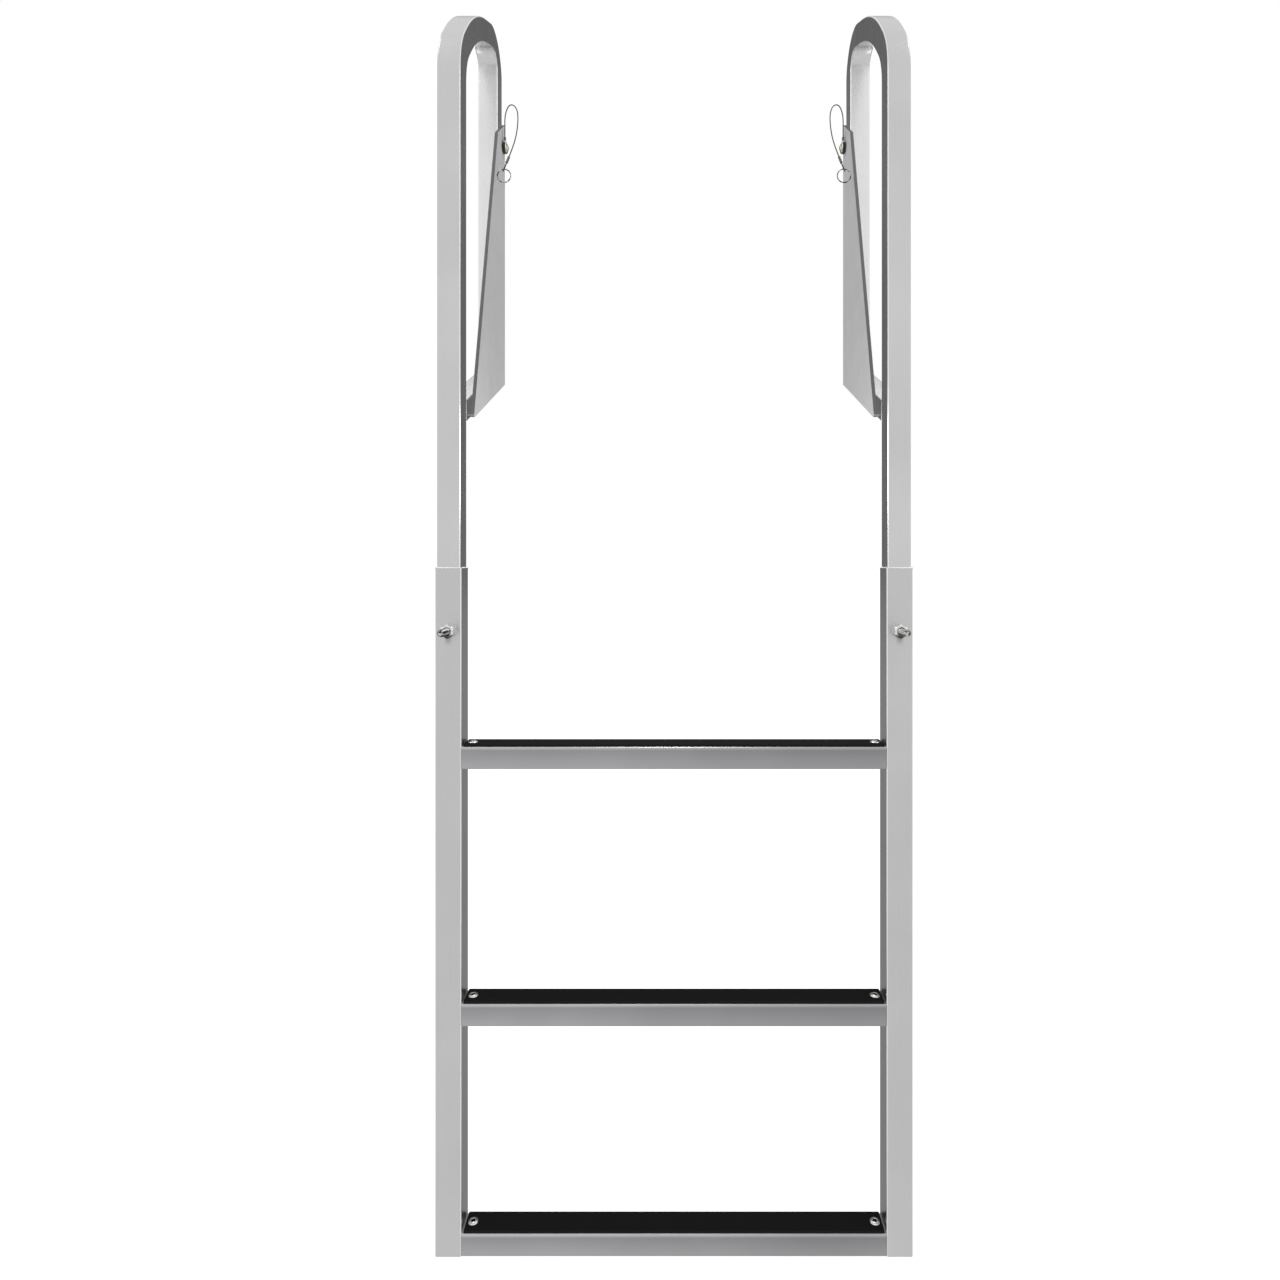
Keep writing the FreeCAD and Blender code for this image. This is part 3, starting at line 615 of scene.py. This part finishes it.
for side, inward in inward_signs:
    low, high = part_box(side + "_lock_pin")
    head_end, tip = (high.x, low.x) if inward == 1 else (low.x, high.x)
    seat = head_end - inward * (button_height + pin_head_thickness)
    reach = abs(seat - tip)
    profile = [(pin_radius - inset, along - reach) for inset, along in tip_shape]
    profile.append((pin_radius, 0.0))
    profile += [(pin_head_radius * share, up) for share, up in head_shape]
    profile += [(button_radius * share, pin_head_thickness + up) for share, up in button_shape]
    pin_mesh = turned(side + "_pull_pin", profile, segments=64)
    for polygon in pin_mesh.polygons:
        from_axis = math.hypot(polygon.center.x, polygon.center.y)
        on_rim = 0 < polygon.center.z < rim_top and from_axis > pin_radius * 1.2
        polygon.material_index = 1 if on_rim else 0
    lug = turned(side + "_pin_lug", lug_shape, segments=24)
    lug.transform(Matrix.Translation((0, 0, pin_head_thickness / 2))
                  @ Matrix.Rotation(math.radians(-90), 4, "Y")
                  @ Matrix.Translation((0, 0, pin_head_radius - lug_sink)))
    balls = bmesh.new()
    for offset in (ball_centre_radius, -ball_centre_radius):
        ball_place = Matrix.Translation((0, offset, ball_from_tip - reach))
        bmesh.ops.create_icosphere(balls, subdivisions=3, radius=ball_radius, matrix=ball_place)
    balls_mesh = bpy.data.meshes.new(side + "_pin_balls")
    balls.to_mesh(balls_mesh)
    balls.free()
    join_meshes(pin_mesh, lug, balls_mesh)

    # The turned shape's axis, which runs out of the head, comes to point inwards, with its lug up.
    axis_y = (low.y + high.y) / 2
    axis_z = low.z + pin_head_radius
    aim = Matrix(((0, 0, inward, seat), (0, 1, 0, axis_y), (-1, 0, 0, axis_z), (0, 0, 0, 1)))
    pin_mesh.transform(aim)
    if aim.determinant() < 0:
        pin_mesh.flip_normals()
    pin_mesh.shade_smooth()
    pin_mesh.set_sharp_from_angle(angle=sharp_edge)
    pin_mesh.materials.append(pin_nickel)
    pin_mesh.materials.append(blackened_rim)
    pin = place_piece(side + "_pull_pin", pin_mesh)
    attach(pin, side + "_pin")
    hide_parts(side + "_lock_pin")


# Wire lanyards: 1.5 mm stainless rope of seven strands, springy enough to
# stand up from each pin, curl over and come down to its split ring.

strand_radius = 0.00027
strand_ring_radius = 0.00047
strand_lay = 0.0090
strand_count = 6

# Inwards, back and up from the upper sleeve's top.
lanyard_route = [(0.0, 0.0, 0.0), (0.0, 0.0, 0.0100), (0.0010, -0.0056, 0.0260), (0.0078, -0.0130, 0.0360),
                 (0.0176, -0.0210, 0.0305), (0.0238, -0.0300, 0.0140), (0.0242, -0.0388, -0.0120),
                 (0.0214, -0.0460, -0.0340), (0.0160, -0.0500, -0.0515)]

rope_tree, entry, leave = new_tree("laid_wire_rope", {"Strand Radius": "Float", "Strand Ring": "Float",
                                                      "Lay": "Float", "Step": "Float", "Finish": "Material"})
even = add_node(rope_tree, "GeometryNodeResampleCurve", {".mode": "LENGTH"},
                {"Curve": entry.outputs["Geometry"], "Length": entry.outputs["Step"]})
strands = add_node(rope_tree, "GeometryNodeDuplicateElements", {".domain": "SPLINE", "Amount": strand_count},
                   {"Geometry": even.outputs["Curve"]})
along = add_node(rope_tree, "GeometryNodeSplineParameter")
lay_turns = add_node(rope_tree, "ShaderNodeMath", {".operation": "DIVIDE"},
                     {0: along.outputs["Length"], 1: entry.outputs["Lay"]})
strand_share = add_node(rope_tree, "ShaderNodeMath", {".operation": "DIVIDE", 1: float(strand_count)},
                        {0: strands.outputs["Duplicate Index"]})
strand_turns = add_node(rope_tree, "ShaderNodeMath", {".operation": "ADD"},
                        {0: lay_turns.outputs["Value"], 1: strand_share.outputs["Value"]})
strand_angle = add_node(rope_tree, "ShaderNodeMath", {".operation": "MULTIPLY", 1: math.tau},
                        {0: strand_turns.outputs["Value"]})
normal = add_node(rope_tree, "GeometryNodeInputNormal")
tangent = add_node(rope_tree, "GeometryNodeInputTangent")
turned_normal = add_node(rope_tree, "ShaderNodeVectorRotate", {".rotation_type": "AXIS_ANGLE"},
                         {"Vector": normal.outputs["Normal"], "Axis": tangent.outputs["Tangent"],
                          "Angle": strand_angle.outputs["Value"]})
outward = add_node(rope_tree, "ShaderNodeVectorMath", {".operation": "SCALE"},
                   {0: turned_normal.outputs["Vector"], "Scale": entry.outputs["Strand Ring"]})
laid = add_node(rope_tree, "GeometryNodeSetPosition", None,
                {"Geometry": strands.outputs["Geometry"], "Offset": outward.outputs["Vector"]})
with_core = add_node(rope_tree, "GeometryNodeJoinGeometry", None, {"Geometry": laid.outputs["Geometry"]})
rope_tree.links.new(even.outputs["Curve"], with_core.inputs["Geometry"])
strand_section = add_node(rope_tree, "GeometryNodeCurvePrimitiveCircle", {"Resolution": 8},
                          {"Radius": entry.outputs["Strand Radius"]})
rope_mesh = add_node(rope_tree, "GeometryNodeCurveToMesh", {"Fill Caps": True},
                     {"Curve": with_core.outputs["Geometry"],
                      "Profile Curve": strand_section.outputs["Curve"]})
end_tree(rope_tree, rope_mesh.outputs["Mesh"], entry, leave)


def wire_curve(name, points, resolution):
    """Open smooth spline with the points as its controls, from the first to the last."""
    curve = bpy.data.curves.new(name, "CURVE")
    curve.dimensions = "3D"
    spline = curve.splines.new("NURBS")
    spline.points.add(len(points) - 1)
    for point, place in zip(spline.points, points):
        point.co = (*place, 1.0)
    spline.order_u = 3
    spline.use_endpoint_u = True
    spline.resolution_u = resolution
    return curve


# Drawn stainless wire: a thin dark grey line, since its strands shade each other.
rope_steel = polished_stainless("drawn_stainless_wire", "#6f6f6e", "#5a5a59", 0.26, 0.0006)
rope_sizes = {"Strand Radius": strand_radius, "Strand Ring": strand_ring_radius, "Lay": strand_lay,
              "Finish": rope_steel}

routes = {}
lanyards = {}
for side, inward in inward_signs:
    low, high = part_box(side + "_top_ferrule")
    foot = Vector(((low.x + high.x) / 2, (low.y + high.y) / 2, high.z))
    routes[side] = [foot + Vector((inward * inwards, back, up)) for inwards, back, up in lanyard_route]
    curve = wire_curve(side + "_wire_route", routes[side], resolution=16)
    route_object = place_piece(side + "_wire_route", curve)
    depsgraph = bpy.context.evaluated_depsgraph_get()
    route_line = bpy.data.meshes.new_from_object(route_object.evaluated_get(depsgraph), depsgraph=depsgraph)
    bpy.data.objects.remove(route_object)
    lanyards[side] = grow(side + "_wire_lanyard", curve, rope_tree, {**rope_sizes, "Step": 0.0006})
    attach(lanyards[side], side + "_pin")
    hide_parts(side + "_pin_lanyard")


# Ferrules: short stainless sleeves pressed on to the rope with a crimping
# tool, which leaves waists between the rounded bands. The lower one also
# grips the wire that turns back through the split ring as an eye.

ferrule_radius = 0.0017
ferrule_mouth = 0.0009
ferrule_rim = 0.0015
crimped_waist = 0.0014
end_ferrule_length = 0.0095
end_ferrule_bands = 5
eye_length = 0.0085
eye_tilt = math.radians(30)

# Sideways from the rope's line and down from the lower sleeve's end, out and back.
eye_outline = [(0.0008, -0.0010), (0.0010, 0.0015), (0.0024, 0.0053), (0.0031, eye_length), (0.0026, 0.0112),
               (0.0, 0.0118), (-0.0026, 0.0112), (-0.0031, eye_length), (-0.0024, 0.0053), (-0.0010, 0.0015),
               (-0.0008, -0.0010)]

# Pressed stainless steel: grey sleeves, a little lighter than the wire, blotched by the tool.
crimped_steel = polished_stainless("crimped_stainless_sleeve", "#8e8e8c", "#5f5f5d", 0.18, 0.0008)

crimps = {}
eyes = {}
for side, inward in inward_signs:
    low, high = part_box(side + "_top_ferrule")
    sleeve_length = high.z - low.z
    top_profile = [(ferrule_mouth, 0.0), (0.0016, 0.0), (ferrule_radius, 0.0004), (ferrule_radius, 0.0014),
                   (crimped_waist, 0.0018), (crimped_waist, 0.0032), (ferrule_radius, 0.0036),
                   (ferrule_radius, 0.0046), (ferrule_rim, sleeve_length), (ferrule_mouth, sleeve_length)]
    top_mesh = turned(side + "_top_crimp", top_profile, segments=32)
    top_mesh.transform(Matrix.Translation(((low.x + high.x) / 2, (low.y + high.y) / 2, low.z)))
    top_mesh.materials.append(crimped_steel)
    crimps[side] = place_piece(side + "_top_crimp", top_mesh)
    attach(crimps[side], side + "_pin")
    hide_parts(side + "_top_ferrule")

    before_last, rope_end = routes[side][-2:]
    end_along = (rope_end - before_last).normalized()
    front_to_back = end_along.cross(Vector((1, 0, 0))).normalized()
    sideways = end_along.cross(front_to_back) * -inward
    across = front_to_back * math.cos(eye_tilt) + sideways * math.sin(eye_tilt)
    ferrule_frame = Matrix((across, across.cross(end_along), end_along)).transposed().to_4x4()
    ferrule_frame.translation = rope_end
    band = end_ferrule_length / end_ferrule_bands
    end_profile = [(ferrule_mouth, 0.0), (ferrule_rim, 0.0), (ferrule_radius, 0.0005), (ferrule_radius, band),
                   (crimped_waist, band * 1.25), (crimped_waist, band * 1.95), (ferrule_radius, band * 2.2),
                   (ferrule_radius, band * 2.8), (crimped_waist, band * 3.05), (crimped_waist, band * 3.75),
                   (ferrule_radius, band * 4.0), (ferrule_radius, end_ferrule_length - 0.0005),
                   (ferrule_rim, end_ferrule_length), (ferrule_mouth, end_ferrule_length)]
    end_mesh = turned(side + "_end_crimp", end_profile, segments=32)
    end_mesh.transform(ferrule_frame)
    for polygon in end_mesh.polygons:
        polygon.material_index = 1
    eye_points = [rope_end + across * out + end_along * (end_ferrule_length + down)
                  for out, down in eye_outline]
    eye_curve = wire_curve(side + "_wire_eye", eye_points, resolution=10)
    eyes[side] = grow(side + "_crimped_eye", eye_curve, rope_tree, {**rope_sizes, "Step": 0.0005})
    join_meshes(eyes[side].data, end_mesh)
    eyes[side].data.materials.append(crimped_steel)
    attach(eyes[side], side + "_pin")
    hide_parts(side + "_end_ferrule")


# Split rings: two turns of flat spring wire, coiled side by side, with the
# wire's ends cut square so that a finger nail can part them. With its ring
# on, each lanyard is a whole cord.

flat_wire_pitch = 0.00052
flat_wire_radius = 0.00062
coil_turns = 2.04
coil_width = coil_turns * flat_wire_pitch

# Coiled spring steel: a near black line broken by white glints, as it turns past the lights.
spring_steel = polished_stainless("coiled_spring_steel", "#dededc", "#1e1e1d", 0.12, 0.0028,
                                  dark_until=0.44, light_from=0.62)

for side, inward in inward_signs:
    low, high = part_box(side + "_pin_ring")
    ring_radius = (high.x - low.x + high.z - low.z) / 4 - (high.y - low.y) / 2
    ring = grow(side + "_split_ring", bpy.data.meshes.new("nothing"), thread_tree,
                {"Turns": coil_turns, "Radius": ring_radius, "Length": coil_width, "Ridge": flat_wire_radius,
                 "Ridge Flatness": 0.40, "Finish": spring_steel})
    ends_at_side = Matrix.Rotation(math.radians(180 if inward == 1 else 0), 4, "Z")
    ring.data.transform(Matrix.Translation((low + high) / 2) @ turn_to_front
                        @ Matrix.Translation((0, 0, -coil_width / 2)) @ ends_at_side)
    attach(ring, side + "_pin")
    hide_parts(side + "_pin_ring")


# Studio: a pale floor under the rails' lower ends, a camera straight in front
# of the ladder, and a surround that it doesn't see, dark behind and brighter
# in front, beside, above and below. Small soft cards light single spots.

low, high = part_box("left_lower_rail")
rail_front_y = low.y
rail_foot_z = low.z
metres_per_pixel = 0.00108
camera_distance_pixels = 780.0
image_size = 1280
horizon_row = 560.0
foot_row = 1257.0
centre_column = 674.0
sensor_width = 36.0

camera_data = bpy.data.cameras.new("camera")
camera = bpy.data.objects.new("camera", camera_data)
bpy.context.collection.objects.link(camera)
camera_data.sensor_width = sensor_width
camera_data.lens = sensor_width * camera_distance_pixels / image_size
camera_data.shift_x = (image_size / 2 - centre_column) / image_size
camera_data.shift_y = (horizon_row - image_size / 2) / image_size
camera_z = rail_foot_z + (foot_row - horizon_row) * metres_per_pixel
camera.location = (ladder_centre_x, rail_front_y - camera_distance_pixels * metres_per_pixel, camera_z)
camera.rotation_euler = (math.radians(90), 0, 0)
bpy.context.scene.camera = camera

# Seamless paper: it glows a little, so it meets the white background with no edge.
floor_reach = 30
floor_rear = 60
floor_gap = 0.0005
pale_floor, tree, shader = new_material("pale_studio_floor")
shader.inputs["Base Color"].default_value = linear("#f0f0f0")
shader.inputs["Roughness"].default_value = 0.9
shader.inputs["Emission Color"].default_value = (1.0, 1.0, 1.0, 1.0)
shader.inputs["Emission Strength"].default_value = 0.75
floor_mesh = bpy.data.meshes.new("floor")
floor_corners = [(-floor_reach, -floor_reach, 0), (floor_reach, -floor_reach, 0),
                 (floor_reach, floor_rear, 0), (-floor_reach, floor_rear, 0)]
floor_mesh.from_pydata(floor_corners, [], [(0, 1, 2, 3)])
floor_mesh.materials.append(pale_floor)
floor = place_piece("floor", floor_mesh)
floor.location = (ladder_centre_x, 0, rail_foot_z - floor_gap)
floor.visible_glossy = False

# Tones of the surround by direction, as the metal mirrors them. The rear is lighter low down.
front_tone = 0.33
side_tone = 0.40
rear_tone = 0.057
low_rear_tone = 0.114
surround_strength = 2.3

world = bpy.data.worlds.new("studio")
world.use_nodes = True
bpy.context.scene.world = world
surround = world.node_tree
direction = add_node(surround, "ShaderNodeTexCoord")
split = add_node(surround, "ShaderNodeSeparateXYZ", None, {"Vector": direction.outputs["Generated"]})
rear_wall = add_node(surround, "ShaderNodeMapRange",
                     {"From Min": -0.06, "From Max": -0.01, "To Min": low_rear_tone, "To Max": rear_tone},
                     {"Value": split.outputs["Z"]})
front_to_rear = add_node(surround, "ShaderNodeMapRange",
                         {"From Min": -0.15, "From Max": 0.30, "To Min": front_tone},
                         {"Value": split.outputs["Y"], "To Max": rear_wall.outputs["Result"]})
side_reach = add_node(surround, "ShaderNodeMath", {".operation": "ABSOLUTE"}, {0: split.outputs["X"]})
sides = add_node(surround, "ShaderNodeMapRange",
                 {"From Min": 0.58, "From Max": 0.78, "To Min": 0.0, "To Max": side_tone},
                 {"Value": side_reach.outputs["Value"]})
not_behind = add_node(surround, "ShaderNodeMapRange",
                      {"From Min": 0.10, "From Max": 0.40, "To Min": 1.0, "To Max": 0.0},
                      {"Value": split.outputs["Y"]})
side_walls = add_node(surround, "ShaderNodeMath", {".operation": "MULTIPLY"},
                      {0: sides.outputs["Result"], 1: not_behind.outputs["Result"]})
overhead = add_node(surround, "ShaderNodeMapRange",
                    {"From Min": 0.58, "From Max": 0.76, "To Min": 0.0, "To Max": front_tone},
                    {"Value": split.outputs["Z"]})
underfoot = add_node(surround, "ShaderNodeMapRange",
                     {"From Min": -0.67, "From Max": -0.76, "To Min": 0.0, "To Max": front_tone},
                     {"Value": split.outputs["Z"]})
brightest = side_walls.outputs["Value"]
for zone in (front_to_rear, overhead, underfoot):
    brighter = add_node(surround, "ShaderNodeMath", {".operation": "MAXIMUM"},
                        {0: brightest, 1: zone.outputs["Result"]})
    brightest = brighter.outputs["Value"]
mirrored = add_node(surround, "ShaderNodeBackground", {"Strength": surround_strength}, {"Color": brightest})
plain_white = surround.nodes["Background"]
plain_white.inputs["Color"].default_value = (1.0, 1.0, 1.0, 1.0)
plain_white.inputs["Strength"].default_value = 1.0
ray = add_node(surround, "ShaderNodeLightPath")
seen = add_node(surround, "ShaderNodeMixShader", None,
                {0: ray.outputs["Is Camera Ray"], 1: mirrored.outputs["Background"],
                 2: plain_white.outputs["Background"]})
surround.links.new(seen.outputs["Shader"], surround.nodes["World Output"].inputs["Surface"])

# Each card's name, the spot that it lights, from the middle of the ladder's foot, its place from
# that spot, its size in metres and its watts. X counts outwards on both sides.
rim_spot = (0.232, 0.01, 0.745)
cards = [("brace_panel", (0.236, 0.10, 0.96), (0.164, 0.52, 0.57), (0.26, 0.22), 0.26),
         ("arch_wall", (0.244, 0.10, 1.37), (0.13, 0.40, -0.34), (0.24, 0.44), 0.22),
         ("rim_side_card", rim_spot, (0.03, 0.50, 0.14), (0.09, 0.12), 0.07),
         ("rim_top_card", rim_spot, (0.30, -0.02, 1.00), (0.24, 0.20), 0.24),
         ("nut_card", (0.242, -0.01, 0.676), (-0.21, -0.03, 0.20), (0.14, 0.16), 0.26)]

ladder_foot = Vector((ladder_centre_x, rail_front_y, rail_foot_z))
for side, inward in inward_signs:
    for name, spot, from_spot, (width, height), watts in cards:
        lit_spot = ladder_foot + Vector((-inward * spot[0], spot[1], spot[2]))
        to_card = Vector((-inward * from_spot[0], from_spot[1], from_spot[2]))
        lamp = bpy.data.lights.new(side + "_" + name, "AREA")
        lamp.shape = "RECTANGLE"
        lamp.size = width
        lamp.size_y = height
        lamp.energy = watts
        card = bpy.data.objects.new(side + "_" + name, lamp)
        card.location = lit_spot + to_card
        card.rotation_mode = "QUATERNION"
        card.rotation_quaternion = (-to_card).to_track_quat("-Z", "Y")
        card.visible_camera = False
        bpy.context.collection.objects.link(card)

bpy.context.scene.view_settings.view_transform = "Standard"
